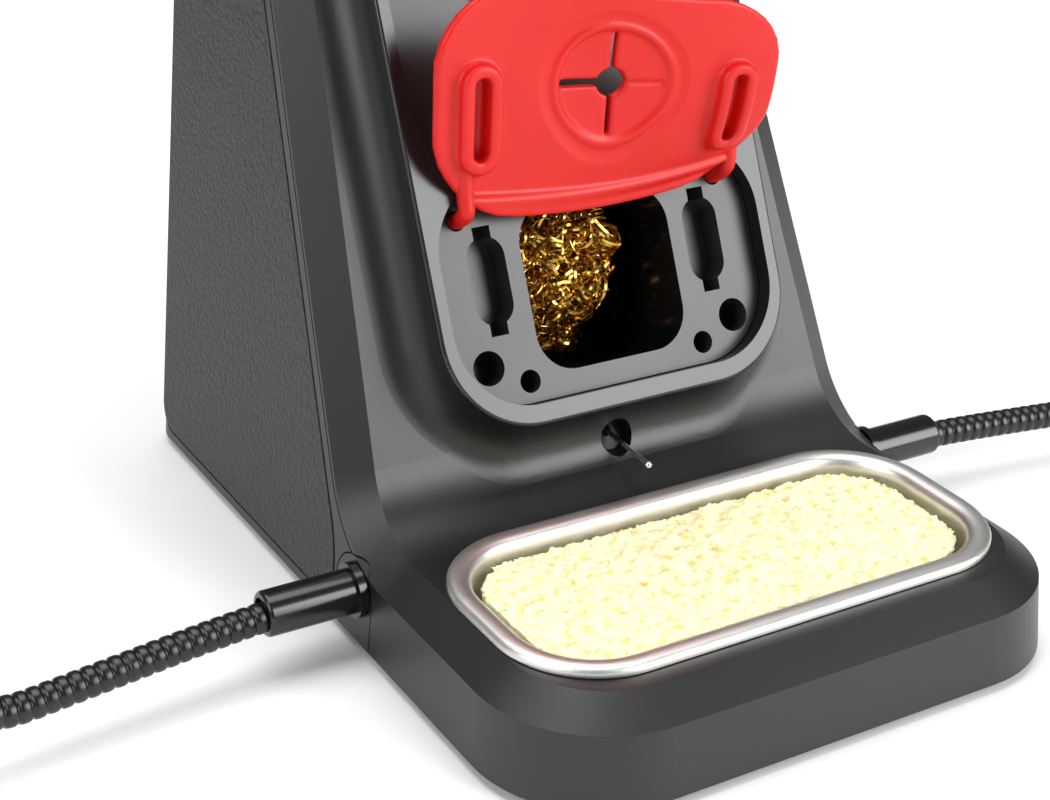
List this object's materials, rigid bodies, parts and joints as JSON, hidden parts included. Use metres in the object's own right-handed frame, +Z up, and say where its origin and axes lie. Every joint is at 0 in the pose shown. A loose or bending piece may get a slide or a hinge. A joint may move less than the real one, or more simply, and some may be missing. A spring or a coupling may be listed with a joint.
{
  "type": "soldering iron station",
  "caption": "Bench stand for a soldering iron: leaning front with iron holder, brass wool chamber under a silicone flap, sponge tray in the shoe, solder feed and two gooseneck clip arms.",
  "frame": {"origin": "middle of the body footprint on the table", "axes": "+Z up, -Y the front with the shoe, +X to the right along the spread arms"},
  "size_m": [0.4194, 0.1798, 0.1726],
  "materials": {
    "black_abs": "satin moulded",
    "textured_abs": "spark-eroded texture",
    "gloss_black": "gloss moulded",
    "plated_steel": "zinc plated",
    "rubber": "matte",
    "red_silicone": "satin moulded",
    "stainless": "drawn and brushed",
    "cellulose": "open-pored, dry",
    "brass_turnings": "bright",
    "phenolic": "moulded",
    "solder": "bright tin alloy",
    "gooseneck": "black oxide, wound",
    "clip_steel": "nickel plated"
  },
  "bodies": {
    "root": {"front_housing": "black_abs", "rear_housing": "black_abs", "base_plate": "black_abs", "ballast_plate": "plated_steel", "rubber_feet": "rubber", "base_screws": "plated_steel", "left_side_panel": "textured_abs", "right_side_panel": "textured_abs", "front_bezel": "black_abs", "tip_tray": "black_abs", "wool_box": "gloss_black", "holder_plate": "black_abs", "holder_ring": "phenolic", "iron_funnel": "stainless", "iron_tube": "stainless", "cover_straps": "red_silicone", "spool_brackets": "black_abs", "spool_axle": "plated_steel", "wire_guide": "black_abs", "solder_wire": "solder", "left_arm_socket": "gloss_black", "left_arm_nut": "plated_steel", "left_arm_filler": "black_abs", "right_arm_socket": "gloss_black", "right_arm_nut": "plated_steel", "right_arm_filler": "black_abs"},
    "cover": {"silicone_cover": "red_silicone"},
    "tray": {"sponge_tray": "stainless"},
    "sponge_pad": {"sponge": "cellulose"},
    "wool": {"brass_wool": "brass_turnings"},
    "spool": {"solder_spool": "gloss_black", "solder_winding": "solder"},
    "back_cover": {"rear_cover": "textured_abs"},
    "left_neck_1": {"left_neck_1": "gooseneck"},
    "left_neck_2": {"left_neck_2": "gooseneck"},
    "left_neck_3": {"left_neck_3": "gooseneck"},
    "left_neck_4": {"left_neck_4": "gooseneck", "left_clip_base": "clip_steel", "left_clip_pin": "clip_steel", "left_clip_spring": "clip_steel"},
    "left_jaw": {"left_clip_jaw": "clip_steel"},
    "right_neck_1": {"right_neck_1": "gooseneck"},
    "right_neck_2": {"right_neck_2": "gooseneck"},
    "right_neck_3": {"right_neck_3": "gooseneck"},
    "right_neck_4": {"right_neck_4": "gooseneck", "right_clip_base": "clip_steel", "right_clip_pin": "clip_steel", "right_clip_spring": "clip_steel"},
    "right_jaw": {"right_clip_jaw": "clip_steel"}
  },
  "joints": [
    {"name": "cover_flip", "type": "hinge", "parent": "root", "child": "cover", "pos_m": [0, -0.00036, 0.08142], "axis": [1, 0, 0], "range_deg": [0, 155.2]},
    {"name": "tray_lift", "type": "slide", "parent": "root", "child": "tray", "axis": [0, 0, 1], "range_m": [0, 0.04]},
    {"name": "sponge_lift", "type": "slide", "parent": "tray", "child": "sponge_pad", "axis": [0, 0, 1], "range_m": [0, 0.03]},
    {"name": "wool_pull", "type": "slide", "parent": "root", "child": "wool", "axis": [0, 0.9092, -0.4163], "range_m": [-0.045, 0]},
    {"name": "spool_spin", "type": "hinge", "parent": "root", "child": "spool", "pos_m": [0, 0.06, 0.031], "axis": [1, 0, 0], "continuous": true},
    {"name": "back_cover_pull", "type": "slide", "parent": "root", "child": "back_cover", "axis": [0, 1, 0], "range_m": [0, 0.06]},
    {"name": "left_neck_bend_1", "type": "hinge", "parent": "root", "child": "left_neck_1", "pos_m": [-0.0845, -0.0185, 0.0127], "axis": [0, 1, 0], "range_deg": [-30, 30]},
    {"name": "left_neck_bend_2", "type": "hinge", "parent": "left_neck_1", "child": "left_neck_2", "pos_m": [-0.134, -0.0236, 0.0106], "axis": [0, 0, 1], "range_deg": [-35, 35]},
    {"name": "left_neck_bend_3", "type": "hinge", "parent": "left_neck_2", "child": "left_neck_3", "pos_m": [-0.183, -0.03, 0.032], "axis": [0, 1, 0], "range_deg": [-35, 35]},
    {"name": "left_neck_bend_4", "type": "hinge", "parent": "left_neck_3", "child": "left_neck_4", "pos_m": [-0.207, -0.038, 0.078], "axis": [1, 0, 0], "range_deg": [-35, 35]},
    {"name": "left_jaw_open", "type": "hinge", "parent": "left_neck_4", "child": "left_jaw", "pos_m": [-0.20279, -0.05158, 0.14632], "axis": [0.9982, 0.0097, -0.0595], "range_deg": [0, 20], "stiffness_Nm_per_rad": 0.02},
    {"name": "right_neck_bend_1", "type": "hinge", "parent": "root", "child": "right_neck_1", "pos_m": [0.0845, -0.0185, 0.0127], "axis": [0, 1, 0], "range_deg": [-30, 30]},
    {"name": "right_neck_bend_2", "type": "hinge", "parent": "right_neck_1", "child": "right_neck_2", "pos_m": [0.134, -0.0236, 0.0106], "axis": [0, 0, 1], "range_deg": [-35, 35]},
    {"name": "right_neck_bend_3", "type": "hinge", "parent": "right_neck_2", "child": "right_neck_3", "pos_m": [0.183, -0.03, 0.032], "axis": [0, 1, 0], "range_deg": [-35, 35]},
    {"name": "right_neck_bend_4", "type": "hinge", "parent": "right_neck_3", "child": "right_neck_4", "pos_m": [0.207, -0.038, 0.078], "axis": [1, 0, 0], "range_deg": [-35, 35]},
    {"name": "right_jaw_open", "type": "hinge", "parent": "right_neck_4", "child": "right_jaw", "pos_m": [0.20279, -0.05158, 0.14632], "axis": [0.9982, -0.0097, 0.0595], "range_deg": [0, 20], "stiffness_Nm_per_rad": 0.02}
  ]
}
